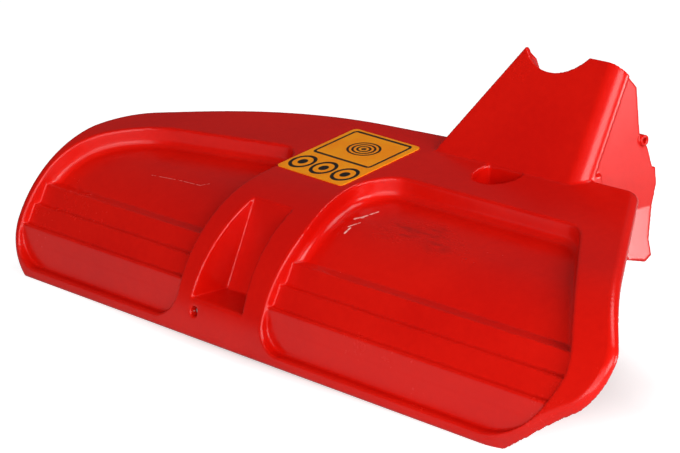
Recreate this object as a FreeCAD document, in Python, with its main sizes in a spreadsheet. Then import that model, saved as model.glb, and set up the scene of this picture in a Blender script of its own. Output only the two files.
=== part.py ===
import FreeCAD, Part
import math
import os

# A moulded guard for a grass trimmer, in millimetres.
# X runs along the near rim, Y away from the user and Z up.
# The origin is where the axis of the shaft saddle crosses the front face of the tower.
# Sizes along X are taken from that axis, depths and heights from the near rim.

SIZES = [
    # Hood
    ("wall", 2.8, "thickness of the moulded wall"),
    ("lip", 3.4, "depth of the turned-down lip round the back and the ends"),
    ("hood_radius", 58.0, "radius of the hood from its rim up to its flat top"),
    ("hood_tilt", 11.5, "slope of the flat top, degrees"),
    ("trim_slope", 60.0, "slope at which the hood's outline is cut, degrees"),
    ("hood_left", 200.0, "left end of the hood, left of the axis"),
    ("left_height", 82.5, "back left corner, up the cutting plane"),
    ("left_round", 30.0, "radius of the back left corner"),
    ("shoulder_left", 126.0, "middle of the back edge's curve, left of the axis"),
    ("shoulder_height", 6.5, "drop of that middle below the back edge beside the tower"),
    ("shoulder_round", 220.0, "radius of the back edge's curve"),
    ("back_height", 129.0, "back edge beside the tower, up the cutting plane"),
    ("right_drop", 6.1, "drop of the back edge right of the tower below that"),
    ("right_back_round", 9.0, "radius of the back right corner"),
    ("right_slant", 37.3, "lean of the slanted right edge, degrees"),
    ("right_reach", 125.8, "right end of the hood, right of the axis"),
    ("right_height", 35.5, "foot of the slanted edge, up the cutting plane"),
    ("right_round", 14.0, "radius at the foot of the slanted edge"),
    ("toe_height", 20.0, "lower end of the hood's right side, up the cutting plane"),
    ("toe_round", 16.0, "radius of that lower end"),
    ("rim_right", 42.0, "distance of the rim's corner from the right end"),
    ("rim_right_round", 80.0, "radius of the rim's right corner"),
    ("rim_left_round", 18.0, "radius of the rim's left corner"),
    ("edge_round", 3.0, "rounding of the hood's back and end edges"),
    ("rim_round", 2.0, "rounding of the near rim"),
    # Stepped panels
    ("panel_depth", 8.0, "depth of the panel floors below the hood"),
    ("floor_round", 3.5, "rounding between the panel floors and their walls"),
    ("panel_ledge", 5.0, "height of the panels' bottom edge"),
    ("step_top", 36.0, "height of the highest step"),
    ("step_front", 17.7, "depth of the highest step's front edge"),
    ("step_rise", 7.35, "height of one step"),
    ("step_tread", 2.8, "width of one tread"),
    ("step_lean", 3.6, "how far a riser leans back"),
    ("foot_lean", 0.6, "how far the lowest riser leans forward"),
    ("left_panel_margin", 5.0, "margin between the left panel and the left end"),
    ("left_panel_right", 88.5, "right edge of the left panel, left of the axis"),
    ("left_panel_back", 72.0, "depth of the left panel at its right edge"),
    ("left_panel_side", 54.0, "depth of the left panel at its left edge"),
    ("left_panel_round", 45.0, "radius of the left panel's back left corner"),
    ("left_panel_inner_round", 12.0, "radius of the left panel's back right corner"),
    ("left_panel_foot_round", 13.0, "radius of the left panel's bottom corners"),
    ("right_panel_left", 37.5, "left edge of the right panel, left of the axis"),
    ("right_panel_bend", 25.0, "depth at which that edge starts to lean"),
    ("right_panel_flare", 10.0, "how far that edge leans out at the back"),
    ("right_panel_bend_round", 60.0, "radius where that edge starts to lean"),
    ("right_panel_back", 69.5, "depth of the right panel"),
    ("right_panel_corner", 64.3, "distance of the right panel's back right corner from the right end"),
    ("right_panel_right", 15.3, "margin between the right panel and the right end"),
    ("right_panel_knee", 11.0, "depth at which the right edge starts to slant"),
    ("right_panel_round", 16.0, "radius of the right panel's back corners"),
    ("right_panel_foot_round", 33.0, "radius of the right panel's bottom right corner"),
    ("right_panel_toe_round", 10.0, "radius of the right panel's bottom left corner"),
    # Wedge pocket and small hole in the middle rib
    ("pocket_middle", 64.5, "middle of the wedge pocket, left of the axis"),
    ("pocket_top_width", 23.0, "width of the pocket at its top edge"),
    ("pocket_foot_width", 30.0, "width of the pocket at its floor"),
    ("pocket_top", 51.0, "height of the pocket's top edge"),
    ("pocket_depth", 31.5, "depth of the pocket's top edge"),
    ("pocket_floor", 16.0, "height of the pocket's floor"),
    ("pocket_slope", 72.0, "slope of the pocket's back wall, degrees"),
    ("hole_middle", 77.0, "middle of the small hole, left of the axis"),
    ("hole_height", 11.0, "height of the small hole"),
    ("hole_radius", 2.0, "radius of the small hole"),
    # Tower with the shaft saddle
    ("tower_wall", 3.0, "thickness of the tower's walls"),
    ("tower_setback", 94.5, "depth of the foot of the tower's front face"),
    ("tower_lean", 33.0, "lean of the front face, degrees"),
    ("tower_face", 50.6, "length of the front face up its slope"),
    ("tower_left", 39.5, "foot of the tower's left edge, left of the axis"),
    ("tower_peak", 16.0, "top of the tower's left edge, left of the axis"),
    ("tower_right", 37.5, "foot of the tower's right edge"),
    ("tower_right_top", 32.5, "top of the tower's right edge"),
    ("tower_back", 140.0, "depth of the tower's rear edges"),
    ("tower_floor", 6.6, "drop of the tower's lower rear corner below the foot of its face"),
    ("top_slope", 47.0, "fall of the tower's top towards the back, degrees"),
    ("tower_round", 7.0, "radius of the tower's front right edge"),
    ("side_step", 1.2, "how far the right wall is set in behind the rounded edge"),
    ("foot_ledge", 2.5, "height of the ledge at the right wall's foot above the hood"),
    ("ledge_length", 3.5, "length of that ledge"),
    ("saddle_radius", 20.0, "radius of the shaft saddle"),
    ("saddle_rise", 61.6, "distance of the saddle axis up the front face"),
    ("saddle_room", 1.0, "room that the left wall leaves round the shaft behind the saddle"),
    ("relief_radius", 9.8, "radius of the round tool relief"),
    ("relief_ahead", 4.0, "distance of the relief's middle ahead of the tower's foot"),
    ("relief_depth", 9.0, "depth of the tool relief"),
    # Rear edge and tab of the right wall
    ("rear_top", 8.5, "how far the right wall's rear edge stops short of the tower's back at its top"),
    ("rear_upper", 8.0, "how far that edge stops short just above its shoulder"),
    ("rear_shoulder", 12.4, "height of the shoulder in that edge above the foot of the tower's face"),
    ("rear_bend", 4.0, "size of the bends at that shoulder"),
    ("tab_back", 8.3, "how far the tab's rear edge stops short of the tower's back"),
    ("tab_front", 19.7, "distance of the tab's front edge from its rear edge"),
    ("tab_foot", 28.0, "drop of the tab's lower end below the tower's lower rear corner"),
    ("tab_corner", 4.0, "cut corner of the tab's lower end"),
    ("tab_bend", 8.0, "drop of the tab's bend below the tower's lower rear corner"),
    ("tab_flare", 15.0, "lean of the tab below its bend, degrees"),
    ("lug_radius", 2.2, "radius of the small lug on the rear edge"),
    ("lug_hole", 1.1, "radius of the hole in that lug"),
    ("lug_height", 11.4, "height of the lug above the foot of the tower's face"),
    # Sticker
    ("sticker_middle", 67.0, "middle of the sticker, left of the axis"),
    ("sticker_width", 40.4, "width of the sticker along the rim"),
    ("sticker_length", 42.6, "length of the sticker up the hood"),
    ("sticker_front", 52.9, "depth of the sticker's near edge"),
    ("sticker_turn", 2.4, "how far the sticker is turned on the hood, degrees"),
    ("sticker_round", 2.0, "corner radius of the sticker"),
    ("sticker_thickness", 0.3, "thickness of the sticker"),
]

# Number of steps in each panel
STEPS = 3

# Room that a cutting solid has beyond the part that it cuts
BEYOND = 60.0

# How far the lug reaches into the wall that carries it
LUG_OVERLAP = 0.4

# Distance within which a point counts as lying on a surface
TOUCH = 1e-3

doc = FreeCAD.newDocument("trimmer_guard")
sheet = doc.addObject("Spreadsheet::Sheet", "sizes")
for row, (alias, value, note) in enumerate(SIZES, start=1):
    sheet.set(f"A{row}", note)
    sheet.set(f"B{row}", str(value))
    sheet.setAlias(f"B{row}", alias)
doc.recompute()


def size(alias):
    """A driving dimension from the sheet."""
    return float(sheet.get(alias))


def angle(alias):
    """A driving angle from the sheet, in radians."""
    return math.radians(size(alias))


# The hood's section and the places that follow from it

def hood_height(depth, inset=0.0):
    """Height of the hood's surface, or of one set in under it, at a depth behind the rim."""
    radius = size("hood_radius")
    small = radius - inset
    tilt = angle("hood_tilt")
    turn = radius - small * math.sin(tilt)
    if depth < turn:
        return math.sqrt(max(small**2 - (radius - depth) ** 2, 0.0))
    return small * math.cos(tilt) + (depth - turn) * math.tan(tilt)


lean = angle("tower_lean")
foot_depth = size("tower_setback")
foot_height = hood_height(foot_depth)
axis_depth = foot_depth + size("saddle_rise") * math.sin(lean)
axis_height = foot_height + size("saddle_rise") * math.cos(lean)
face_top = foot_height + size("tower_face") * math.cos(lean)
tower_back = size("tower_back")
tower_floor = foot_height - size("tower_floor")
right_end = size("right_reach")


def at(x, depth, height):
    """A point from its place along X, its depth and its height."""
    return FreeCAD.Vector(x, depth - axis_depth, height - axis_height)


def face_depth(height, inset=0.0):
    """Depth of the tower's front face, or of a plane set in behind it, at a height."""
    return foot_depth + (height - foot_height) * math.tan(lean) + inset / math.cos(lean)


# Outlines: lists of (across, up, radius) corners, seen along one direction

START_X = -size("hood_left") - BEYOND
START_DEPTH = -BEYOND
START_HEIGHT = -BEYOND
END_DEPTH = tower_back + BEYOND
END_HEIGHT = face_top + BEYOND

SLOPE = angle("trim_slope")
ALONG_X = FreeCAD.Vector(1, 0, 0)
ALONG_Y = FreeCAD.Vector(0, 1, 0)
ALONG_Z = FreeCAD.Vector(0, 0, 1)
ALONG_TRIM = FreeCAD.Vector(0, math.cos(SLOPE), -math.sin(SLOPE))
UP_TRIM = FreeCAD.Vector(0, math.sin(SLOPE), math.cos(SLOPE))

SPAN = f"sizes.hood_left + sizes.right_reach + {2 * BEYOND}"
DEEP = f"sizes.tower_back + {2 * BEYOND}"
TALL = f"sizes.hood_radius + sizes.tower_face + {3 * BEYOND}"


def from_side(depth, height):
    return at(START_X, depth, height)


def from_front(x, height):
    return at(x, START_DEPTH, height)


def from_above(x, depth):
    return at(x, depth, START_HEIGHT)


def from_trim(x, up):
    return at(x, 0, 0) + UP_TRIM * up - ALONG_TRIM * (2 * BEYOND)


VIEWS = {
    "side": (from_side, ALONG_X, SPAN),
    "front": (from_front, ALONG_Y, DEEP),
    "plan": (from_above, ALONG_Z, TALL),
    "trim": (from_trim, ALONG_TRIM, f"{DEEP} + {TALL}"),
}


def grown(corners, distance):
    """An outline with its sides moved out by a distance, for corners given anticlockwise."""
    sides = []
    for index, (x, y, radius) in enumerate(corners):
        next_x, next_y, next_radius = corners[(index + 1) % len(corners)]
        run = math.hypot(next_x - x, next_y - y)
        across = ((next_x - x) / run, (next_y - y) / run)
        sides.append((x + across[1] * distance, y - across[0] * distance, across))
    moved = []
    for index, (x, y, radius) in enumerate(corners):
        before_x, before_y, before = sides[index - 1]
        after_x, after_y, after = sides[index]
        turn = before[0] * after[1] - before[1] * after[0]
        gap_x = after_x - before_x
        gap_y = after_y - before_y
        along = (gap_x * after[1] - gap_y * after[0]) / turn
        changed = radius + math.copysign(distance, turn) if radius > 0 else 0.0
        moved.append((before_x + before[0] * along, before_y + before[1] * along, max(changed, 0.0)))
    return moved


# Most of a straight run that the rounds at its two ends may take
ROUND_SHARE = 0.95


def fitted(corners):
    """An outline with each round limited by the straight runs beside it."""
    points = [FreeCAD.Vector(x, y, 0) for x, y, radius in corners]
    runs = [points[(index + 1) % len(points)] - point for index, point in enumerate(points)]
    setbacks = []
    for index, (x, y, radius) in enumerate(corners):
        setbacks.append(radius * math.tan(runs[index - 1].getAngle(runs[index]) / 2))
    shares = []
    for index, run in enumerate(runs):
        room = ROUND_SHARE * run.Length
        taken = setbacks[index] + setbacks[(index + 1) % len(setbacks)]
        shares.append(room / max(room, taken))
    limits = [min(shares[index - 1], share) for index, share in enumerate(shares)]
    return [(x, y, radius * limit) for (x, y, radius), limit in zip(corners, limits)]


def rounded_wire(corners, place):
    """A closed wire of straight runs with tangent arcs at the corners that have a radius."""
    points = [place(x, y) for x, y, radius in corners]
    bends = []
    for index, (corner, (x, y, radius)) in enumerate(zip(points, corners)):
        before = (points[index - 1] - corner).normalize()
        after = (points[(index + 1) % len(points)] - corner).normalize()
        half = before.getAngle(after) / 2
        setback = radius / math.tan(half)
        middle = (before + after).normalize() * (radius / math.sin(half) - radius)
        bends.append((corner + before * setback, corner + middle, corner + after * setback, radius))
    edges = []
    for index, (start, middle, end, radius) in enumerate(bends):
        edges.append(Part.LineSegment(bends[index - 1][2], start).toShape())
        if radius > 0:
            edges.append(Part.Arc(start, middle, end).toShape())
    return Part.Wire(edges)


def drawn(name, wire, view):
    """A solid drawn from a flat outline along its view."""
    place, direction, length = VIEWS[view]
    outline = doc.addObject("Part::Feature", name + "_outline")
    outline.Shape = Part.Face(wire)
    solid = doc.addObject("Part::Extrusion", name)
    solid.Base = outline
    solid.DirMode = "Custom"
    solid.Dir = direction
    solid.Solid = True
    solid.setExpression("LengthFwd", length)
    return solid


def outline_solid(name, view, corners):
    """A solid drawn from a list of corners."""
    return drawn(name, rounded_wire(corners, VIEWS[view][0]), view)


def common(name, shapes):
    """What several objects share."""
    feature = doc.addObject("Part::MultiCommon", name)
    feature.Shapes = shapes
    return feature


def fuse(name, shapes):
    """Several objects as one."""
    feature = doc.addObject("Part::MultiFuse", name)
    feature.Shapes = shapes
    return feature


def cut(name, base, tool):
    """One object with another taken away."""
    feature = doc.addObject("Part::Cut", name)
    feature.Base = base
    feature.Tool = tool
    return feature


def rounded(name, base, chosen, radius_at):
    """An object with its chosen edges rounded, to the radius wanted at each of their ends."""
    doc.recompute()
    shape = base.Shape
    picked = []
    for index, edge in enumerate(shape.Edges, start=1):
        if chosen(shape, edge):
            first, last = edge.ParameterRange
            picked.append((index, radius_at(edge.valueAt(first)), radius_at(edge.valueAt(last))))
    feature = doc.addObject("Part::Fillet", name)
    feature.Base = base
    feature.Edges = picked
    return feature


def always(alias):
    """The same radius everywhere."""
    return lambda point: size(alias)


def arc_point(inset, turn):
    """A point of the hood's arc, set in from its surface, at an angle from the Y axis."""
    radius = size("hood_radius")
    small = radius - inset
    return radius + small * math.cos(turn), small * math.sin(turn)


def section_edges(inset, start_turn):
    """The hood's section from an angle on its arc up to the end of its flat top."""
    tilt = angle("hood_tilt")
    bend = math.pi / 2 + tilt
    start = arc_point(inset, start_turn)
    middle = arc_point(inset, (start_turn + bend) / 2)
    crest = arc_point(inset, bend)
    run = END_DEPTH - crest[0]
    far = (END_DEPTH, crest[1] + run * math.tan(tilt))
    arc = Part.Arc(from_side(*start), from_side(*middle), from_side(*crest)).toShape()
    flat = Part.LineSegment(from_side(*crest), from_side(*far)).toShape()
    return [arc, flat], start, far


def closed_section(edges, points):
    """A wire of section edges, closed by straight runs through side-view points."""
    places = [from_side(*point) for point in points]
    runs = [Part.LineSegment(a, b).toShape() for a, b in zip(places, places[1:])]
    return Part.Wire(edges + runs)


def under_section(name, inset, low):
    """Everything under the hood's section, set in from its surface, down to a height."""
    edges, start, far = section_edges(inset, math.pi)
    points = [far, (END_DEPTH, low)]
    if low < start[1] - TOUCH:
        points.append((start[0], low))
    return drawn(name, closed_section(edges, points + [start]), "side")


# Hood: the section cut to its outline, then hollowed

RIM_DROP = 0.5
right_back = size("back_height") - size("right_drop")
slant_run = (right_back - size("right_height")) * math.tan(angle("right_slant"))
hood_corners = [
    (-size("hood_left"), -RIM_DROP, size("rim_left_round")),
    (right_end - size("rim_right"), -RIM_DROP, size("rim_right_round")),
    (right_end - RIM_DROP, size("toe_height"), size("toe_round")),
    (right_end, size("right_height"), size("right_round")),
    (right_end - slant_run, right_back, size("right_back_round")),
    (size("tower_right") - size("side_step"), right_back, 0.0),
    (size("tower_peak"), size("back_height"), 0.0),
    (-size("tower_left"), size("back_height"), 0.0),
    (-size("shoulder_left"), size("back_height") - size("shoulder_height"), size("shoulder_round")),
    (-size("hood_left"), size("left_height"), size("left_round")),
]
hood_outline = fitted(hood_corners)

hood_block = under_section("hood_block", 0.0, 0.0)
hood_trim = outline_solid("hood_trim", "trim", hood_outline)
hood_raw = common("hood_raw", [hood_block, hood_trim])


def on_section(point, inset):
    """Whether a point lies on the hood's surface, or on one set in under it."""
    depth = point.y + axis_depth
    height = point.z + axis_height
    return abs(height - hood_height(depth, inset)) < TOUCH


def middle_of(face):
    """A point in the middle of a face's parameters."""
    low_u, high_u, low_v, high_v = face.ParameterRange
    return face.valueAt((low_u + high_u) / 2, (low_v + high_v) / 2)


def edge_places(edge):
    """Three points of an edge."""
    first, last = edge.ParameterRange
    return [edge.valueAt(first + (last - first) * share) for share in (0.1, 0.5, 0.9)]


def bounds_section(shape, edge, inset):
    """Whether an edge is where a surface of the hood's section ends."""
    if not all(on_section(place, inset) for place in edge_places(edge)):
        return False
    faces = shape.ancestorsOfType(edge, Part.Face)
    return not all(on_section(middle_of(face), inset) for face in faces)


def outer_edge(shape, edge):
    """Chooses the edges round the hood's outer surface."""
    return bounds_section(shape, edge, 0.0)


def hood_round(point):
    """The near rim is sharper than the hood's other edges."""
    at_rim = abs(point.z + axis_height) < TOUCH
    return size("rim_round") if at_rim else size("edge_round")


hood_outer = rounded("hood_outer", hood_raw, outer_edge, hood_round)


# Stepped panels

def above_section(name, inset):
    """Everything over the hood's section, set in from its surface."""
    edges, start, far = section_edges(inset, math.pi)
    points = [far, (END_DEPTH, END_HEIGHT), (START_DEPTH, END_HEIGHT), (START_DEPTH, START_HEIGHT)]
    return drawn(name, closed_section(edges, points + [(start[0], START_HEIGHT), start]), "side")


def stepped_floor(name):
    """Everything over the panels' floor with its steps."""
    depth = size("panel_depth")
    small = size("hood_radius") - depth
    edges, start, far = section_edges(depth, math.pi - math.asin(size("step_top") / small))
    place = size("step_front")
    height = size("step_top")
    steps = [(place, height)]
    for index in range(STEPS - 1):
        place -= size("step_lean")
        height -= size("step_rise")
        steps.append((place, height))
        place -= size("step_tread")
        steps.append((place, height))
    ledge = size("panel_ledge")
    steps.append((place - size("foot_lean"), ledge))
    steps.append((START_DEPTH, ledge))
    points = [start] + steps + [(START_DEPTH, END_HEIGHT), (END_DEPTH, END_HEIGHT), far]
    return drawn(name, closed_section(edges, points), "side")


def panel_fronts(left, right, left_round, right_round):
    """The front view of a panel."""
    ledge = size("panel_ledge")
    return [
        (left, ledge, left_round),
        (right, ledge, right_round),
        (right, END_HEIGHT, 0.0),
        (left, END_HEIGHT, 0.0),
    ]


panel_left = size("left_panel_margin") - size("hood_left")
left_plan = [
    (panel_left, START_DEPTH, 0.0),
    (-size("left_panel_right"), START_DEPTH, 0.0),
    (-size("left_panel_right"), size("left_panel_back"), size("left_panel_inner_round")),
    (panel_left, size("left_panel_side"), size("left_panel_round")),
]
left_front = panel_fronts(
    panel_left, -size("left_panel_right"), size("left_panel_foot_round"), size("left_panel_foot_round")
)
panel_flared = -size("right_panel_left") - size("right_panel_flare")
panel_right = right_end - size("right_panel_right")
panel_corner = right_end - size("right_panel_corner")
right_plan = [
    (-size("right_panel_left"), START_DEPTH, 0.0),
    (panel_right, START_DEPTH, 0.0),
    (panel_right, size("right_panel_knee"), size("right_panel_round")),
    (panel_corner, size("right_panel_back"), size("right_panel_round")),
    (panel_flared, size("right_panel_back"), size("right_panel_round")),
    (-size("right_panel_left"), size("right_panel_bend"), size("right_panel_bend_round")),
]
flare_foot = size("step_top") - size("step_rise")
right_front = panel_fronts(
    -size("right_panel_left"), panel_right, size("right_panel_toe_round"), size("right_panel_foot_round")
)
right_front[3] = (START_X, END_HEIGHT, 0.0)
right_front += [(START_X, flare_foot, 0.0), (-size("right_panel_left"), flare_foot, 0.0)]


def panel_tool(name, floor, plan, front, growth):
    """The solid that a panel takes out of the hood, or that solid grown by a wall."""
    above = outline_solid(name + "_plan", "plan", grown(plan, growth))
    ahead = outline_solid(name + "_front", "front", grown(front, growth))
    return common(name, [floor, above, ahead])


wall = size("wall")
panel_floor = stepped_floor("panel_floor")
panel_back = above_section("panel_back", size("panel_depth") + wall)


def floor_edge(shape, edge):
    """Chooses the edges between a panel's floor and its walls, above the steps."""
    above_steps = edge_places(edge)[1].z + axis_height > size("step_top") + TOUCH
    return above_steps and bounds_section(shape, edge, size("panel_depth"))


left_sharp = panel_tool("left_sharp", panel_floor, left_plan, left_front, 0.0)
left_panel = rounded("left_panel", left_sharp, floor_edge, always("floor_round"))
left_panel_wall = panel_tool("left_panel_wall", panel_back, left_plan, left_front, wall)
right_sharp = panel_tool("right_sharp", panel_floor, right_plan, right_front, 0.0)
right_panel = rounded("right_panel", right_sharp, floor_edge, always("floor_round"))
right_panel_wall = panel_tool("right_panel_wall", panel_back, right_plan, right_front, wall)


# Wedge pocket, small hole and tool relief

def pocket_tool(name, growth):
    """The solid that the wedge pocket takes out of the hood, or that solid grown by a wall."""
    middle = -size("pocket_middle")
    floor = size("pocket_floor")
    top = size("pocket_top")
    half_foot = size("pocket_foot_width") / 2
    half_top = size("pocket_top_width") / 2
    taper = (half_top - half_foot) / (top - floor)
    half_end = half_top + taper * BEYOND / 2
    front = [
        (middle - half_foot, floor, 0.0),
        (middle + half_foot, floor, 0.0),
        (middle + half_end, top + BEYOND / 2, 0.0),
        (middle - half_end, top + BEYOND / 2, 0.0),
    ]
    top_depth = size("pocket_depth")
    fall = math.tan(angle("pocket_slope"))
    side = [
        (START_DEPTH, floor, 0.0),
        (top_depth - (top - floor) / fall, floor, 0.0),
        (top_depth + (END_HEIGHT - top) / fall, END_HEIGHT, 0.0),
        (START_DEPTH, END_HEIGHT, 0.0),
    ]
    ahead = outline_solid(name + "_front", "front", grown(front, growth))
    beside = outline_solid(name + "_side", "side", grown(side, growth))
    return common(name, [ahead, beside])


def pillar(name, radius_expr, height_expr, foot, direction):
    """A round pillar from its foot along a direction."""
    feature = doc.addObject("Part::Cylinder", name)
    feature.setExpression("Radius", radius_expr)
    feature.setExpression("Height", height_expr)
    feature.Placement = FreeCAD.Placement(foot, FreeCAD.Rotation(ALONG_Z, direction))
    return feature


pocket = pocket_tool("pocket", 0.0)
pocket_wall = pocket_tool("pocket_wall", wall)

hole_foot = at(-size("hole_middle"), -2 * wall, size("hole_height"))
hole = pillar("hole", "sizes.hole_radius", "4 * sizes.wall", hole_foot, ALONG_Y)

relief_floor = hood_height(foot_depth) - size("relief_depth")
relief_middle = foot_depth - size("relief_ahead")
relief_round = pillar(
    "relief_round", "sizes.relief_radius", TALL, at(0, relief_middle, relief_floor), ALONG_Z
)
relief_front = outline_solid(
    "relief_front",
    "side",
    [
        (START_DEPTH, START_HEIGHT, 0.0),
        (foot_depth, START_HEIGHT, 0.0),
        (foot_depth, END_HEIGHT, 0.0),
        (START_DEPTH, END_HEIGHT, 0.0),
    ],
)
relief = common("relief", [relief_round, relief_front])
relief_wall = pillar(
    "relief_wall",
    "sizes.relief_radius + sizes.wall",
    TALL,
    at(0, relief_middle, relief_floor - wall),
    ALONG_Z,
)

# The hollow underneath, which keeps a wall round the panels, the pocket and the relief

hollow_section = under_section("hollow_section", wall, START_HEIGHT)
hollow_trim = outline_solid("hollow_trim", "trim", grown(hood_outline, -wall))
hollow_inside = common("hollow_inside", [hollow_section, hollow_trim])
hollow_below = under_section("hollow_below", size("lip"), START_HEIGHT)
hollow_whole = fuse("hollow_whole", [hollow_inside, hollow_below])
kept_walls = fuse("kept_walls", [left_panel_wall, right_panel_wall, pocket_wall, relief_wall])
hollow = cut("hollow", hollow_whole, kept_walls)

hood_tools = fuse("hood_tools", [left_panel, right_panel, pocket, relief, hole])
hood_dished = cut("hood_dished", hood_outer, hood_tools)
hood_shell = cut("hood_shell", hood_dished, hollow)

# Tower

face_rise = face_top - foot_height
right_run = (size("tower_right") - size("tower_right_top")) / face_rise


def tower_front(growth):
    """The tower's front view, moved in or out by a distance."""
    left_run = (size("tower_left") - size("tower_peak")) / face_rise
    low = foot_height - START_HEIGHT
    high = END_HEIGHT - foot_height
    corners = [
        (-size("tower_left") - left_run * low, START_HEIGHT, 0.0),
        (size("tower_right") + right_run * low, START_HEIGHT, 0.0),
        (size("tower_right") - right_run * high, END_HEIGHT, 0.0),
        (-size("tower_left") + left_run * high, END_HEIGHT, 0.0),
    ]
    return grown(corners, growth)


def behind_face(inset):
    """Side-view points of a plane set in behind the front face, from its foot to its top."""
    return (face_depth(foot_height, inset), foot_height), (face_depth(END_HEIGHT, inset), END_HEIGHT)


top_fall = math.tan(angle("top_slope"))
top_depth = face_depth(face_top)
rear_height = face_top - (tower_back - top_depth) * top_fall
tower_side = outline_solid(
    "tower_side",
    "side",
    [
        (foot_depth, tower_floor, 0.0),
        (tower_back, tower_floor, 0.0),
        (tower_back, rear_height, 0.0),
        (top_depth, face_top, 0.0),
        (foot_depth, foot_height, 0.0),
    ],
)
tower_ahead = outline_solid("tower_ahead", "front", tower_front(0.0))
tower_raw = common("tower_raw", [tower_side, tower_ahead])


def front_right_edge(shape, edge):
    """Chooses the edge between the tower's front face and its right wall."""
    for place in edge_places(edge):
        height = place.z + axis_height
        wall_place = size("tower_right") - right_run * (height - foot_height)
        if abs(place.x - wall_place) > TOUCH or abs(place.y + axis_depth - face_depth(height)) > TOUCH:
            return False
    return True


tower_rounded = rounded("tower_rounded", tower_raw, front_right_edge, always("tower_round"))

# The right wall stands a little inside the rounded edge, with a short ledge at its foot
ledge_height = foot_height + size("foot_ledge")
ledge_near = face_depth(ledge_height, size("tower_round"))
ledge_far = ledge_near + size("ledge_length")
step_side = outline_solid(
    "step_side",
    "side",
    [
        (ledge_near, ledge_height, 0.0),
        (ledge_far, ledge_height, 0.0),
        (ledge_far, START_HEIGHT, 0.0),
        (END_DEPTH, START_HEIGHT, 0.0),
        (END_DEPTH, END_HEIGHT, 0.0),
        (face_depth(END_HEIGHT, size("tower_round")), END_HEIGHT, 0.0),
    ],
)
inner_right = tower_front(-size("side_step"))
outer_right = tower_front(BEYOND / 2)
step_ahead = outline_solid(
    "step_ahead", "front", [inner_right[1], outer_right[1], outer_right[2], inner_right[2]]
)
side_step = common("side_step", [step_side, step_ahead])

# The tower is open behind, above and below
void_foot, void_top = behind_face(size("tower_wall"))
void_side = outline_solid(
    "void_side",
    "side",
    [
        (void_foot[0], START_HEIGHT, 0.0),
        (END_DEPTH, START_HEIGHT, 0.0),
        (END_DEPTH, END_HEIGHT, 0.0),
        (*void_top, 0.0),
        (*void_foot, 0.0),
    ],
)
void_left = tower_front(-size("tower_wall"))
void_right = tower_front(-size("tower_wall") - size("side_step"))
void_ahead = outline_solid(
    "void_ahead", "front", [void_left[0], void_right[1], void_right[2], void_left[3]]
)
tower_void = common("tower_void", [void_side, void_ahead])

# The right wall's rear edge stops short of the left wall's
rear_bend = size("rear_bend")
rear_depth = tower_back - size("rear_upper")
shoulder = foot_height + size("rear_shoulder")
rear_cut_side = outline_solid(
    "rear_cut_side",
    "side",
    [
        (tower_back, tower_floor, 0.0),
        (END_DEPTH, tower_floor, 0.0),
        (END_DEPTH, END_HEIGHT, 0.0),
        (tower_back - size("rear_top"), END_HEIGHT, 0.0),
        (rear_depth, shoulder + rear_bend, 0.0),
        (rear_depth, shoulder, rear_bend),
        (rear_depth + rear_bend, shoulder - rear_bend, rear_bend),
    ],
)
rear_cut_ahead = outline_solid(
    "rear_cut_ahead", "front", [void_right[1], outer_right[1], outer_right[2], void_right[2]]
)
rear_cut = common("rear_cut", [rear_cut_side, rear_cut_ahead])

# The shaft's saddle is cut through the front wall, and the left wall behind it clears the shaft
facing = FreeCAD.Vector(0, -math.cos(lean), math.sin(lean))
saddle_foot = facing * -size("tower_wall")
saddle = pillar("saddle", "sizes.saddle_radius", "3 * sizes.tower_wall", saddle_foot, facing)
shaft_room = pillar(
    "shaft_room", "sizes.saddle_radius + sizes.saddle_room", DEEP, saddle_foot, facing * -1
)
tower_tools = fuse("tower_tools", [side_step, tower_void, rear_cut, saddle, shaft_room])
tower_walls = cut("tower_walls", tower_rounded, tower_tools)

# Tab and lug on the right wall. The tab leans out below its bend.

tab_top = foot_height
tab_back = tower_back - size("tab_back")
tab_front = tab_back - size("tab_front")
tab_foot = tower_floor - size("tab_foot")
tab_bend = tower_floor - size("tab_bend")
corner = size("tab_corner")
tab_side = outline_solid(
    "tab_side",
    "side",
    [
        (tab_front, tab_foot + corner, 0.0),
        (tab_back - corner, tab_foot, 0.0),
        (tab_back, tab_foot + corner / 2, 0.0),
        (tab_back, tab_foot + 2 * corner, 0.0),
        (tower_back, tower_floor, 0.0),
        (tower_back, tab_top, 0.0),
        (tab_front, tab_top, 0.0),
    ],
)


def tab_outside(height):
    """Place of the tab's outer face along X at a height."""
    straight = size("tower_right") - size("side_step") - right_run * (max(height, tab_bend) - foot_height)
    return straight + max(tab_bend - height, 0.0) * math.tan(angle("tab_flare"))


tab_levels = [tab_foot, tab_bend, tab_top]
tab_outer = [(tab_outside(level), level, 0.0) for level in tab_levels]
tab_inner = [(tab_outside(level) - size("tower_wall"), level, 0.0) for level in reversed(tab_levels)]
tab_ahead = outline_solid("tab_ahead", "front", tab_outer + tab_inner)
tab = common("tab", [tab_side, tab_ahead])
lug_x = size("tower_right") - size("side_step") - size("tower_wall")
lug_depth = rear_depth + (size("lug_radius") + size("lug_hole")) / 2 - LUG_OVERLAP
lug_place = at(lug_x - size("lug_radius"), lug_depth, foot_height + size("lug_height"))
lug_body = pillar("lug_body", "sizes.lug_radius", "sizes.tower_wall + sizes.lug_radius", lug_place, ALONG_X)
lug_bore = pillar("lug_bore", "sizes.lug_hole", "sizes.tower_wall + sizes.lug_radius", lug_place, ALONG_X)
lug = cut("lug", lug_body, lug_bore)

# The whole guard is one moulding

hood_opened = cut("hood_opened", hood_shell, tower_void)
guard = fuse("guard", [hood_opened, tower_walls, tab, lug])
guard.Refine = True
guard.Label = "guard_shell"

# Sticker

tilt = angle("hood_tilt")
half_width = size("sticker_width") / 2
half_length = size("sticker_length") / 2


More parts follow.
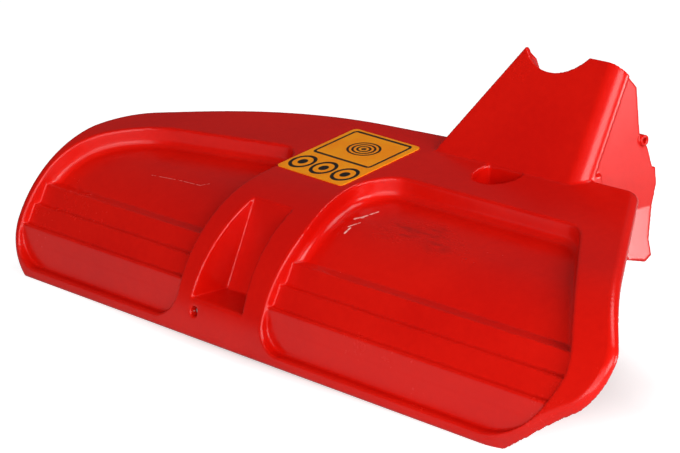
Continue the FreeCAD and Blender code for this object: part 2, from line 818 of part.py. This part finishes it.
def on_top(across, along):
    """A point of the hood's flat top, from the middle of the sticker."""
    turn = angle("sticker_turn")
    x = across * math.cos(turn) + along * math.sin(turn) - size("sticker_middle")
    up = along * math.cos(turn) - across * math.sin(turn) + half_length
    depth = size("sticker_front") + up * math.cos(tilt)
    return at(x, depth, hood_height(depth))


sticker_corners = [
    (-half_width, -half_length, size("sticker_round")),
    (half_width, -half_length, size("sticker_round")),
    (half_width, half_length, size("sticker_round")),
    (-half_width, half_length, size("sticker_round")),
]
VIEWS["top"] = (on_top, FreeCAD.Vector(0, -math.sin(tilt), math.cos(tilt)), "sizes.sticker_thickness")
sticker = outline_solid("sticker", "top", sticker_corners)
sticker.Label = "sticker"

doc.recompute()

# Nothing is written unless every object is sound

for feature in doc.Objects:
    if "Invalid" in feature.State or "Error" in feature.State:
        raise RuntimeError(f"{feature.Name} did not build: {feature.State}")

NODES = [guard, sticker]
for node in NODES:
    if node.Shape.isNull() or not node.Shape.isValid() or len(node.Shape.Solids) != 1:
        raise RuntimeError(f"{node.Label} is not one sound solid: {len(node.Shape.Solids)} solids")

os.makedirs("parts", exist_ok=True)
for node in NODES:
    node.Shape.exportStep(f"parts/{node.Label}.step")
    print(f"{node.Label}: {node.Shape.Volume:.0f} cubic millimetres")
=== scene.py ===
import math

import bmesh
import bpy
import numpy as np
from mathutils import Matrix, Vector, kdtree


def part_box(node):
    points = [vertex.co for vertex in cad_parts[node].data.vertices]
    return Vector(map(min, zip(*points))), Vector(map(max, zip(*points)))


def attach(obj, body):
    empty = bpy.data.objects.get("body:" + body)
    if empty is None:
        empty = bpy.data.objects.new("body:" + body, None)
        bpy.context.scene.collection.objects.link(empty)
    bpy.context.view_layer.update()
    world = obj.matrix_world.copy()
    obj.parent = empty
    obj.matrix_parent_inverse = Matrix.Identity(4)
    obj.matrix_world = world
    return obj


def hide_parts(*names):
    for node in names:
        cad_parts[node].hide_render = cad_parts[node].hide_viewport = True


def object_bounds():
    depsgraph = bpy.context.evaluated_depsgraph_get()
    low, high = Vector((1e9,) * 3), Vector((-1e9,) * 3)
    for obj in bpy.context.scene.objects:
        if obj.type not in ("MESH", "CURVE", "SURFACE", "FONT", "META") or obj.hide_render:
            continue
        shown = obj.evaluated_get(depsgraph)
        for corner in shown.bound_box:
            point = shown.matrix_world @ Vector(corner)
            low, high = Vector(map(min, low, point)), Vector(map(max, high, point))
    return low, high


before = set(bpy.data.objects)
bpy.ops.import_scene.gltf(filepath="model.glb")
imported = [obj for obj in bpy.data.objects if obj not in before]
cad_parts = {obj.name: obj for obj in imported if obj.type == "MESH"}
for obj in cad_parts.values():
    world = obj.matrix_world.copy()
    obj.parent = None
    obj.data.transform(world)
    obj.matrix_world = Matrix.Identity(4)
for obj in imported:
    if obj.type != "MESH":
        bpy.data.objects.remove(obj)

# The looks of a moulded trimmer guard, in metres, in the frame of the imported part.
# X runs along the near rim, Y to the back and Z up.
# The origin is where the axis of the shaft saddle crosses the tower's front face.

CAD_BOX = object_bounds()
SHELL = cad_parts["guard_shell"]
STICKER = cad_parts["sticker"]

# Sizes of the part that the looks follow
HOOD_RADIUS = 0.058
HOOD_TILT = math.radians(11.5)
WALL = 0.0028
PANEL_DEPTH = 0.008
TOWER_FOOT = 0.0945
TOWER_LEAN = math.radians(33.0)
SADDLE_RISE = 0.0616
HOLE_PLACE = (-0.077, 0.011)
LUG_PLACE = Vector((0.0337, 0.0052, -0.0403))

CREST_DEPTH = HOOD_RADIUS * (1 - math.sin(HOOD_TILT))
CREST_HEIGHT = HOOD_RADIUS * math.cos(HOOD_TILT)
FOOT_HEIGHT = CREST_HEIGHT + (TOWER_FOOT - CREST_DEPTH) * math.tan(HOOD_TILT)
AXIS_DEPTH = TOWER_FOOT + SADDLE_RISE * math.sin(TOWER_LEAN)
AXIS_HEIGHT = FOOT_HEIGHT + SADDLE_RISE * math.cos(TOWER_LEAN)
FLOOR_HEIGHT = CAD_BOX[0][2]

# Fine copy of the moulding
CELL_DEPTH = 9
CELL_FILL = 0.98
KEPT_FACES = 0.8

# How near a point has to be to count as on the hood's surface, on a true arc or as the same point
ON_SURFACE = 0.00008
ON_ARC = 0.00012
SAME_POINT = ON_SURFACE / 20

# Mouths are edges on the hood's surface that bend more than this, marked by points this far apart
SHARP = math.radians(28)
SPACING = 0.0005

# Softening everywhere, more of it at the mouths and less near the small hole and the lug
SMOOTHING = 0.5
EVERYWHERE_ROUNDS = 2
MOUTH_ROUNDS = 3
MOUTH_REACH = 0.0025
MOUTH_GAIN = 1.6
FINE_REACH = 0.00672
FINE_KEPT = 0.7


# The moulding: a fine copy of the solid with the soft mouths and edges of a real moulding

def fine_copy(node, name):
    """A copy of a node, and its mesh made fine enough for its edges to be softened."""
    source = bpy.data.objects.new(name + "_source", node.data.copy())
    bpy.context.collection.objects.link(source)
    joined = bmesh.new()
    joined.from_mesh(source.data)
    bmesh.ops.remove_doubles(joined, verts=joined.verts, dist=SAME_POINT)
    joined.to_mesh(source.data)
    joined.free()
    cells = source.modifiers.new("cells", "REMESH")
    cells.mode = "SHARP"
    cells.octree_depth = CELL_DEPTH
    cells.scale = CELL_FILL
    cells.use_remove_disconnected = False
    graph = bpy.context.evaluated_depsgraph_get()
    mesh = bpy.data.meshes.new_from_object(source.evaluated_get(graph))
    mesh.name = name
    return source, mesh


def mesh_arrays(mesh):
    """The places of a mesh's points, and the two points at the ends of each edge."""
    places = np.empty(len(mesh.vertices) * 3)
    mesh.vertices.foreach_get("co", places)
    ends = np.empty(len(mesh.edges) * 2, dtype=np.int64)
    mesh.edges.foreach_get("vertices", ends)
    return places.reshape(-1, 3), ends.reshape(-1, 2)


def off_section(places):
    """How far points lie above the hood's outer surface."""
    depth = places[:, 1] + AXIS_DEPTH
    height = places[:, 2] + AXIS_HEIGHT
    from_arc = np.hypot(depth - HOOD_RADIUS, height) - HOOD_RADIUS
    from_flat = (height - CREST_HEIGHT) * math.cos(HOOD_TILT) - (depth - CREST_DEPTH) * math.sin(HOOD_TILT)
    return np.where(depth < CREST_DEPTH, from_arc, from_flat)


def mouth_points(mesh):
    """Points along the sharp edges where something is sunk into the hood or stands on it."""
    sharp = bmesh.new()
    sharp.from_mesh(mesh)
    points = []
    for edge in sharp.edges:
        if len(edge.link_faces) != 2 or edge.calc_face_angle(0.0) < SHARP:
            continue
        ends = np.array([corner.co for corner in edge.verts])
        if np.abs(off_section(ends)).max() > ON_SURFACE:
            continue
        count = max(2, int(edge.calc_length() / SPACING) + 1)
        points += [Vector(place) for place in np.linspace(ends[0], ends[1], count)]
    sharp.free()
    return points


def nearness(places, points, reach):
    """One at the given points, falling smoothly to nothing at a distance."""
    tree = kdtree.KDTree(len(points))
    for index, point in enumerate(points):
        tree.insert(point, index)
    tree.balance()
    distance = np.array([tree.find(place)[2] for place in places])
    share = np.clip(1 - distance / reach, 0, 1)
    return share * share * (3 - 2 * share)


def smoothed(places, ends, weight, rounds):
    """Points moved towards the middle of their neighbours, each by its own weight."""
    count = len(places)
    neighbours = np.bincount(ends.ravel(), minlength=count)
    for _ in range(rounds):
        for axis in range(3):
            along = places[:, axis]
            total = np.bincount(ends[:, 0], along[ends[:, 1]], count)
            total += np.bincount(ends[:, 1], along[ends[:, 0]], count)
            places[:, axis] = along + (total / neighbours - along) * weight
    return places


def rounded_arcs(places):
    """Points of the hood's arcs put back on the true arcs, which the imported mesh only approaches."""
    depth = places[:, 1] + AXIS_DEPTH - HOOD_RADIUS
    height = places[:, 2] + AXIS_HEIGHT
    ahead = places[:, 1] + AXIS_DEPTH < CREST_DEPTH
    reach = np.hypot(depth, height)
    for inset in (0.0, WALL, PANEL_DEPTH, PANEL_DEPTH + WALL):
        radius = HOOD_RADIUS - inset
        near = ahead & (np.abs(reach - radius) < ON_ARC)
        scale = radius / reach[near]
        places[near, 1] = depth[near] * scale + HOOD_RADIUS - AXIS_DEPTH
        places[near, 2] = height[near] * scale - AXIS_HEIGHT
    return places


def softened(places, ends, mouths):
    """Points of the moulding with soft mouths and edges, kept inside the solid's box."""
    hole = Vector((HOLE_PLACE[0], -AXIS_DEPTH, HOLE_PLACE[1] - AXIS_HEIGHT))
    fine = nearness(places, [hole, LUG_PLACE], FINE_REACH)
    soft = nearness(places, mouths, MOUTH_REACH) * (1 - fine)
    places = smoothed(places, ends, SMOOTHING * (1 - FINE_KEPT * fine), EVERYWHERE_ROUNDS)
    places = smoothed(places, ends, SMOOTHING * np.minimum(soft * MOUTH_GAIN, 1), MOUTH_ROUNDS)
    low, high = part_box("guard_shell")
    return np.clip(places, np.array(low), np.array(high))


def soft_moulding(node, name):
    """The moulding with soft mouths, as one new piece."""
    source, mesh = fine_copy(node, name)
    places, ends = mesh_arrays(mesh)
    places = softened(rounded_arcs(places), ends, mouth_points(source.data))
    mesh.vertices.foreach_set("co", places.ravel())
    mesh.update()
    bpy.data.objects.remove(source)
    piece = bpy.data.objects.new(name, mesh)
    bpy.context.collection.objects.link(piece)
    fewer = piece.modifiers.new("fewer_faces", "DECIMATE")
    fewer.ratio = KEPT_FACES
    graph = bpy.context.evaluated_depsgraph_get()
    piece.data = bpy.data.meshes.new_from_object(piece.evaluated_get(graph))
    piece.modifiers.clear()
    piece.data.name = name
    piece.data.shade_smooth()
    return piece


# Materials

WHITE = (1.0, 1.0, 1.0, 1.0)
# How bright the white background is in the gloss, against how bright it is to the eye
MIRRORED_SHARE = 0.08
# The full part of a soft-edged patch and of a thin line, as a share of its reach
PATCH_CORE = 0.35
STROKE_CORE = 0.4


class Graph:
    """Short names for the nodes of a material or of the world."""

    def __init__(self, tree):
        self.nodes = tree.nodes
        self.links = tree.links

    def feed(self, target, value):
        """Feeds a node's input from a plain value or from another node's output."""
        if isinstance(value, bpy.types.NodeSocket):
            self.links.new(value, target)
        else:
            target.default_value = value

    def math(self, operation, first, second=0.0):
        """The result of an operation on one or two numbers."""
        node = self.nodes.new("ShaderNodeMath")
        node.operation = operation
        self.feed(node.inputs[0], first)
        self.feed(node.inputs[1], second)
        return node.outputs[0]

    def vector(self, operation, first, second=(0.0, 0.0, 0.0), scale=1.0):
        """The result of an operation on one or two vectors."""
        node = self.nodes.new("ShaderNodeVectorMath")
        node.operation = operation
        self.feed(node.inputs[0], first)
        self.feed(node.inputs[1], second)
        if operation == "SCALE":
            self.feed(node.inputs["Scale"], scale)
        return node.outputs["Value"] if operation in ("LENGTH", "DOT_PRODUCT") else node.outputs["Vector"]

    def length(self, across, along):
        """The length of a run across and along a plane."""
        squares = [self.math("POWER", value, 2.0) for value in (across, along)]
        return self.math("SQRT", self.math("ADD", *squares))

    def ramp(self, value, low, high):
        """Nothing at a low value, one at a high one, smooth in between."""
        node = self.nodes.new("ShaderNodeMapRange")
        node.interpolation_type = "SMOOTHSTEP"
        for key, given in (("Value", value), ("From Min", low), ("From Max", high)):
            self.feed(node.inputs[key], given)
        return node.outputs["Result"]

    def noise(self, place, scale, detail=3.0, roughness=0.5):
        """Cloudy unevenness round one half."""
        node = self.nodes.new("ShaderNodeTexNoise")
        node.inputs["Scale"].default_value = scale
        node.inputs["Detail"].default_value = detail
        node.inputs["Roughness"].default_value = roughness
        self.feed(node.inputs["Vector"], place)
        return node.outputs["Fac"]

    def cells(self, place, scale):
        """Distance from the middle of the nearest of many scattered cells."""
        node = self.nodes.new("ShaderNodeTexVoronoi")
        node.inputs["Scale"].default_value = scale
        self.feed(node.inputs["Vector"], place)
        return node.outputs["Distance"]

    def mix(self, share, first, second):
        """A colour between two others."""
        node = self.nodes.new("ShaderNodeMix")
        node.data_type = "RGBA"
        self.feed(node.inputs["Factor"], share)
        self.feed(node.inputs[6], first)
        self.feed(node.inputs[7], second)
        return node.outputs[2]

    def blend(self, share, first, second):
        """A number between two others."""
        node = self.nodes.new("ShaderNodeMix")
        for key, given in ((0, share), (2, first), (3, second)):
            self.feed(node.inputs[key], given)
        return node.outputs[0]

    def place(self):
        """The place on the piece."""
        return self.nodes.new("ShaderNodeTexCoord").outputs["Object"]

    def facing_up(self):
        """The upward part of the surface's direction."""
        split = self.nodes.new("ShaderNodeSeparateXYZ")
        self.feed(split.inputs[0], self.nodes.new("ShaderNodeNewGeometry").outputs["Normal"])
        return split.outputs["Z"]

    def patch(self, place, middle, reach):
        """One in the middle of an area seen from above, nothing beyond its reach."""
        moved = self.vector("SUBTRACT", place, (middle[0], middle[1], 0.0))
        sized = self.vector("MULTIPLY", moved, (1 / reach[0], 1 / reach[1], 0.0))
        return self.ramp(self.vector("LENGTH", sized), 1.0, PATCH_CORE)

    def stroke(self, place, start, end, width):
        """One along a thin line seen from above."""
        run = Vector((end[0] - start[0], end[1] - start[1], 0.0))
        moved = self.vector("SUBTRACT", place, (start[0], start[1], 0.0))
        flat = self.vector("MULTIPLY", moved, (1.0, 1.0, 0.0))
        along = self.vector("DOT_PRODUCT", flat, run / run.length_squared)
        clamped = self.math("MINIMUM", self.math("MAXIMUM", along, 0.0), 1.0)
        on_line = self.vector("SCALE", tuple(run), scale=clamped)
        away = self.vector("LENGTH", self.vector("SUBTRACT", flat, on_line))
        return self.ramp(away, width, width * STROKE_CORE)

    def background_rays(self):
        """One for rays that look at the background, less for those that it is mirrored in."""
        rays = self.nodes.new("ShaderNodeLightPath")
        mirrored = self.math("MULTIPLY", rays.outputs["Is Glossy Ray"], MIRRORED_SHARE)
        seen = self.math("MAXIMUM", rays.outputs["Is Camera Ray"], mirrored)
        return self.math("MAXIMUM", seen, rays.outputs["Is Transmission Ray"])

    def bump(self, height, distance, strength):
        """The surface's direction with a fine relief."""
        node = self.nodes.new("ShaderNodeBump")
        node.inputs["Strength"].default_value = strength
        node.inputs["Distance"].default_value = distance
        self.feed(node.inputs["Height"], height)
        return node.outputs["Normal"]


def new_material(name):
    """A material with a main shader, its graph and that shader."""
    material = bpy.data.materials.new(name)
    material.use_nodes = True
    graph = Graph(material.node_tree)
    return material, graph, graph.nodes["Principled BSDF"]


# Red plastic

RED_DEEP = (0.60, 0.0036, 0.0011, 1.0)
RED_LIGHT = (0.69, 0.0062, 0.0017, 1.0)
RED_SPECULAR = 0.32
BROAD_SCALE = 16.0
BROAD_SHARE = 0.75
MOTTLE_SCALE = 320.0
TONE_RANGE = (0.32, 0.68)
GLOSS_RANGE = (0.3, 0.7)
CLEAN_ROUGHNESS = (0.20, 0.28)
WORN_ROUGHNESS = 0.6
GRAIN_SCALE = 1500.0
GRAIN_HEIGHT = 0.00004
GRAIN_STRENGTH = 0.14
WEAR_DEPTH = 1.2
UPWARD_RANGE = (0.5, 0.8)

# Pale scratches on the panel floors: start, end and width, seen from above
SCRATCHES = [
    ((-0.0299, -0.0904), (-0.0304, -0.0873), 0.0006),
    ((-0.0328, -0.0799), (-0.0305, -0.0726), 0.0006),
    ((-0.0340, -0.0812), (-0.0322, -0.0790), 0.0009),
    ((-0.0318, -0.0868), (-0.0296, -0.0829), 0.0004),
]
FAINT_SCRATCHES = [
    ((-0.1480, -0.0905), (-0.1340, -0.0892), 0.00025),
    ((-0.1330, -0.0890), (-0.1190, -0.0884), 0.00025),
    ((-0.1190, -0.0884), (-0.1160, -0.0860), 0.00025),
]
FAINT_STRENGTH = 0.22
SCRATCH_PALE = (0.90, 0.58, 0.54, 1.0)
SCRATCH_SHARE = 0.9
BREAK_SCALE = 700.0
BREAK_RANGE = (0.36, 0.56)

# Dark rubbed areas and specks on the right panel's floor: middle and reach, seen from above
SMUDGES = [
    ((-0.011, -0.081), (0.013, 0.009)),
    ((0.001, -0.076), (0.013, 0.008)),
    ((0.013, -0.081), (0.012, 0.008)),
]
SPECKS = ((0.031, -0.081), (0.014, 0.008))
SMUDGE_DARK = (0.16, 0.006, 0.005, 1.0)
SOIL_SHARE = 0.5
STREAK_SCALE = (90.0, 330.0, 90.0)
STREAK_RANGE = (0.44, 0.70)
SPECK_SCALE = 420.0
SPECK_RANGE = (0.24, 0.12)
SCATTER_SCALE = 150.0
SCATTER_RANGE = (0.5, 0.62)


def uneven_tone(graph, place):
    """Broad and fine unevenness of the plastic, round one half."""
    broad = graph.noise(place, BROAD_SCALE, detail=2.0)
    mottle = graph.noise(place, MOTTLE_SCALE, detail=4.0, roughness=0.6)
    broad = graph.math("MULTIPLY", broad, BROAD_SHARE)
    return graph.math("ADD", broad, graph.math("MULTIPLY", mottle, 1 - BROAD_SHARE))


def scratch_marks(graph, place, upward):
    """One on the scratches, which are broken along their length."""
    marks = 0.0
    for strokes, strength in ((SCRATCHES, 1.0), (FAINT_SCRATCHES, FAINT_STRENGTH)):
        for start, end, width in strokes:
            line = graph.math("MULTIPLY", graph.stroke(place, start, end, width), strength)
            marks = graph.math("MAXIMUM", line, marks)
    broken = graph.ramp(graph.noise(place, BREAK_SCALE), *BREAK_RANGE)
    return graph.math("MULTIPLY", graph.math("MULTIPLY", marks, broken), upward)


def soil_marks(graph, place, upward):
    """One on the dark rubbed areas and on the specks."""
    rubbed = 0.0
    for middle, reach in SMUDGES:
        rubbed = graph.math("MAXIMUM", graph.patch(place, middle, reach), rubbed)
    stretched = graph.vector("MULTIPLY", place, STREAK_SCALE)
    streaks = graph.ramp(graph.noise(stretched, 1.0, detail=5.0, roughness=0.65), *STREAK_RANGE)
    rubbed = graph.math("MULTIPLY", rubbed, streaks)
    specks = graph.ramp(graph.cells(place, SPECK_SCALE), *SPECK_RANGE)
    scattered = graph.ramp(graph.noise(place, SCATTER_SCALE), *SCATTER_RANGE)
    specks = graph.math("MULTIPLY", specks, scattered)
    specks = graph.math("MULTIPLY", specks, graph.patch(place, *SPECKS))
    return graph.math("MULTIPLY", graph.math("MAXIMUM", rubbed, specks), upward)


def red_plastic():
    """Glossy moulded plastic, a little uneven, with the wear on the panel floors."""
    material, graph, shader = new_material("red_plastic")
    place = graph.place()
    uneven = uneven_tone(graph, place)
    upward = graph.ramp(graph.facing_up(), *UPWARD_RANGE)
    scratched = scratch_marks(graph, place, upward)
    soiled = soil_marks(graph, place, upward)
    colour = graph.mix(graph.ramp(uneven, *TONE_RANGE), RED_DEEP, RED_LIGHT)
    colour = graph.mix(graph.math("MULTIPLY", scratched, SCRATCH_SHARE), colour, SCRATCH_PALE)
    colour = graph.mix(graph.math("MULTIPLY", soiled, SOIL_SHARE), colour, SMUDGE_DARK)
    graph.feed(shader.inputs["Base Color"], colour)

    worn = graph.math("MAXIMUM", scratched, soiled)
    clean = graph.blend(graph.ramp(uneven, *GLOSS_RANGE), *CLEAN_ROUGHNESS)
    graph.feed(shader.inputs["Roughness"], graph.blend(worn, clean, WORN_ROUGHNESS))
    shader.inputs["Specular IOR Level"].default_value = RED_SPECULAR
    grain = graph.noise(place, GRAIN_SCALE, detail=2.0)
    relief = graph.math("SUBTRACT", grain, graph.math("MULTIPLY", worn, WEAR_DEPTH))
    graph.feed(shader.inputs["Normal"], graph.bump(relief, GRAIN_HEIGHT, GRAIN_STRENGTH))
    return material


# Sticker

AMBER = (1.0, 0.29, 0.004, 1.0)
AMBER_PALE = (1.0, 0.34, 0.007, 1.0)
PRINT_BLACK = (0.012, 0.010, 0.010, 1.0)
FILM_SCALE = 120.0
FILM_RANGE = (0.35, 0.65)
FILM_ROUGHNESS = (0.34, 0.5)
FILM_SPECULAR = 0.35
RIPPLE_SCALE = 90.0
RIPPLE_HEIGHT = 0.00005
RIPPLE_STRENGTH = 0.3
PRINT_RELIEF = 0.3
STICKER_TURN = math.radians(2.4)

# Print: places from the sticker's middle, and the fully black share of a line
FRAME_MIDDLE = (-0.0005, 0.0079)
FRAME_HALF = (0.0170, 0.0116)
FRAME_LINE = 0.0008
FRAME_CORE = 0.6
FRAME_CORNER = 0.0015
RING_PLACES = [(-0.0130, -0.0132), (0.0, -0.0132), (0.0130, -0.0132)]
RING_RADIUS = 0.0052
RING_LINE = 0.0009
RING_CORE = 0.75
DOT_RADIUS = 0.0024
OVAL_MIDDLE = (0.0, 0.0082)
OVAL_HALF = (0.0078, 0.0056)
OVAL_LEVELS = (1.0, 0.7, 0.4, 0.1)
OVAL_LINE = (0.09, 0.06)


def sticker_axes(graph):
    """The place on the sticker, across and along it from its middle."""
    low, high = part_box("sticker")
    plane = Matrix.Rotation(STICKER_TURN, 4, "Z") @ Matrix.Rotation(-HOOD_TILT, 4, "X")
    place = graph.vector("SUBTRACT", graph.place(), tuple((low + high) / 2))
    across = graph.vector("DOT_PRODUCT", place, tuple(plane[0][:3]))
    along = graph.vector("DOT_PRODUCT", place, tuple(plane[1][:3]))
    return across, along


def past_straight(graph, value, middle, half):
    """How far a place lies past the straight part of the frame's side."""
    off = graph.math("ABSOLUTE", graph.math("SUBTRACT", value, middle))
    return graph.math("MAXIMUM", graph.math("SUBTRACT", off, half - FRAME_CORNER), 0.0)


def frame_print(graph, across, along):
    """One on the line of the printed frame."""
    side = past_straight(graph, across, FRAME_MIDDLE[0], FRAME_HALF[0])
    end = past_straight(graph, along, FRAME_MIDDLE[1], FRAME_HALF[1])
    off_line = graph.math("SUBTRACT", graph.length(side, end), FRAME_CORNER)
    return graph.ramp(graph.math("ABSOLUTE", off_line), FRAME_LINE, FRAME_LINE * FRAME_CORE)


def ring_print(graph, across, along, middle):
    """One on a printed ring and on the dot in it."""
    wide = graph.math("SUBTRACT", across, middle[0])
    tall = graph.math("SUBTRACT", along, middle[1])
    off_ring = graph.math("SUBTRACT", graph.length(wide, tall), RING_RADIUS)
    ring = graph.ramp(graph.math("ABSOLUTE", off_ring), RING_LINE, RING_LINE * RING_CORE)
    dot_edge = DOT_RADIUS - RING_RADIUS
    dot = graph.ramp(off_ring, dot_edge, dot_edge - FRAME_LINE / 2)
    return graph.math("MAXIMUM", ring, dot)


def oval_print(graph, across, along):
    """One on the printed ovals."""
    wide = graph.math("DIVIDE", graph.math("SUBTRACT", across, OVAL_MIDDLE[0]), OVAL_HALF[0])
    tall = graph.math("DIVIDE", graph.math("SUBTRACT", along, OVAL_MIDDLE[1]), OVAL_HALF[1])
    outward = graph.length(wide, tall)
    printed = 0.0
    for level in OVAL_LEVELS:
        off_oval = graph.math("ABSOLUTE", graph.math("SUBTRACT", outward, level))
        printed = graph.math("MAXIMUM", graph.ramp(off_oval, *OVAL_LINE), printed)
    return printed


def sticker_film():
    """Amber film with a printed frame round plain ovals, and three rings with a dot in each."""
    material, graph, shader = new_material("sticker_film")
    across, along = sticker_axes(graph)
    printed = graph.math("MAXIMUM", frame_print(graph, across, along), oval_print(graph, across, along))
    for middle in RING_PLACES:
        printed = graph.math("MAXIMUM", printed, ring_print(graph, across, along, middle))

    spread = graph.noise(graph.place(), FILM_SCALE, detail=4.0)
    film = graph.mix(graph.ramp(spread, *FILM_RANGE), AMBER, AMBER_PALE)
    graph.feed(shader.inputs["Base Color"], graph.mix(printed, film, PRINT_BLACK))
    graph.feed(shader.inputs["Roughness"], graph.blend(spread, *FILM_ROUGHNESS))
    shader.inputs["Specular IOR Level"].default_value = FILM_SPECULAR
    ripple = graph.noise(graph.place(), RIPPLE_SCALE)
    relief = graph.math("ADD", ripple, graph.math("MULTIPLY", printed, PRINT_RELIEF))
    graph.feed(shader.inputs["Normal"], graph.bump(relief, RIPPLE_HEIGHT, RIPPLE_STRENGTH))
    return material


# Floor

FLOOR_WHITE = (0.66, 0.66, 0.66, 1.0)
FLOOR_PALE = (0.62, 0.62, 0.62, 1.0)
FLOOR_LIFT = 0.82
FLOOR_ROUGHNESS = 0.9
TOOTH_SCALE = 60.0
TOOTH_RANGE = (0.3, 0.7)
# Painted shadow under the hood, where the floor's white glow is taken away, seen from above: middle and
# reach
PAINTED_SHADOW_MIDDLE = (-0.045, -0.066)
PAINTED_SHADOW_REACH = (0.19, 0.085)

FLOOR_HALF = 6.0
FLOOR_GAP = 0.0002


def floor_paper():
    """White paper that stays white behind the object and keeps its shadow, with a painted shadow under the
    hood where its white glow is taken away.
    """
    material, graph, shader = new_material("floor_paper")
    tooth = graph.ramp(graph.noise(graph.place(), TOOTH_SCALE, detail=4.0), *TOOTH_RANGE)
    graph.feed(shader.inputs["Base Color"], graph.mix(tooth, FLOOR_PALE, FLOOR_WHITE))
    shader.inputs["Roughness"].default_value = FLOOR_ROUGHNESS
    shader.inputs["Specular IOR Level"].default_value = 0.0
    # Painted shadow: the floor's white glow fades out in a patch under the hood, which darkens the floor
    # there.
    outside_painted_shadow = graph.math("SUBTRACT", 1.0, graph.patch(graph.place(), PAINTED_SHADOW_MIDDLE, PAINTED_SHADOW_REACH))
    lift = graph.math("MULTIPLY", outside_painted_shadow, FLOOR_LIFT)
    graph.feed(shader.inputs["Emission Strength"], graph.math("MULTIPLY", graph.background_rays(), lift))
    shader.inputs["Emission Color"].default_value = WHITE
    return material


def add_floor(material):
    """A wide sheet of paper under the rim."""
    mesh = bpy.data.meshes.new("floor")
    height = FLOOR_HEIGHT - FLOOR_GAP
    corners = [(x * FLOOR_HALF, y * FLOOR_HALF, height) for x, y in ((-1, -1), (1, -1), (1, 1), (-1, 1))]
    mesh.from_pydata(corners, [], [(0, 1, 2, 3)])
    mesh.materials.append(material)
    floor = bpy.data.objects.new("floor", mesh)
    bpy.context.collection.objects.link(floor)


# Camera

PHOTO_SIZE = (680, 453)
FOCAL_PIXELS = 2500.0
SENSOR = 36.0
AZIMUTH = math.radians(47.5)
ELEVATION = math.radians(15.9)
NEAREST = 0.01
FARTHEST = 50.0
# A point of the near rim, the pixel where the photo shows it and its distance along the view
RIM_POINT = Vector((-0.0335, -AXIS_DEPTH, -AXIS_HEIGHT))
RIM_PIXEL = (265, 366)
RIM_DISTANCE = 0.9434


def direction(azimuth, elevation):
    """The way from the part towards a viewer or a lamp."""
    level = math.cos(elevation)
    return Vector((math.sin(azimuth) * level, -math.cos(azimuth) * level, math.sin(elevation)))


def view_axes():
    """The camera's right, up and backward directions."""
    right = Vector((math.cos(AZIMUTH), math.sin(AZIMUTH), 0.0))
    back = direction(AZIMUTH, ELEVATION)
    return right, back.cross(right), back


def add_camera():
    """The camera that the photo was taken with."""
    right, up, back = view_axes()
    per_pixel = RIM_DISTANCE / FOCAL_PIXELS
    place = RIM_POINT + back * RIM_DISTANCE
    place += right * (PHOTO_SIZE[0] / 2 - RIM_PIXEL[0]) * per_pixel
    place += up * (RIM_PIXEL[1] - PHOTO_SIZE[1] / 2) * per_pixel
    data = bpy.data.cameras.new("camera")
    data.sensor_width = SENSOR
    data.lens = SENSOR * FOCAL_PIXELS / PHOTO_SIZE[0]
    data.clip_start = NEAREST
    data.clip_end = FARTHEST
    camera = bpy.data.objects.new("camera", data)
    camera.matrix_world = Matrix((right, up, back)).transposed().to_4x4()
    camera.matrix_world.translation = place
    bpy.context.collection.objects.link(camera)
    bpy.context.scene.camera = camera


# Light

# Soft boxes: azimuth and elevation in degrees, distance, width, height and power
SOFT_BOXES = {
    "front_box": (28, 21, 1.4, 1.8, 1.0, 12.5),
    "front_low": (32, 4, 0.9, 0.9, 0.2, 1.8),
    "right_box": (84, 26, 1.1, 0.7, 0.5, 8.0),
    "rear_box": (131, 5.5, 1.2, 0.22, 0.2, 3.8),
    "rear_top": (165, 62, 1.4, 0.6, 0.6, 4.5),
}
SKY_STRENGTH = 0.02


def add_soft_box(name, azimuth, elevation, distance, width, height, power):
    """A lamp of the given size that looks at the middle of the part."""
    away = direction(math.radians(azimuth), math.radians(elevation))
    middle = Vector([(low + high) / 2 for low, high in zip(*CAD_BOX)])
    data = bpy.data.lights.new(name, "AREA")
    data.shape = "RECTANGLE"
    data.size = width
    data.size_y = height
    data.energy = power
    lamp = bpy.data.objects.new(name, data)
    lamp.location = middle + away * distance
    lamp.rotation_euler = away.to_track_quat("Z", "Y").to_euler()
    bpy.context.collection.objects.link(lamp)


def add_light():
    """Soft boxes round the part and a faint sky, which is white to the eye."""
    for name, values in SOFT_BOXES.items():
        add_soft_box(name, *values)
    world = bpy.data.worlds.new("sky")
    world.use_nodes = True
    graph = Graph(world.node_tree)
    background = graph.nodes["Background"]
    background.inputs["Color"].default_value = WHITE
    strength = graph.math("MAXIMUM", graph.background_rays(), SKY_STRENGTH)
    graph.feed(background.inputs["Strength"], strength)
    bpy.context.scene.world = world


def dress(piece, material):
    """Gives a piece one material."""
    piece.data.materials.clear()
    piece.data.materials.append(material)


guard = soft_moulding(SHELL, "guard_soft")
dress(guard, red_plastic())
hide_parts("guard_shell")
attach(guard, "root")
dress(STICKER, sticker_film())
add_floor(floor_paper())
add_light()
add_camera()
bpy.context.scene.view_settings.view_transform = "Standard"
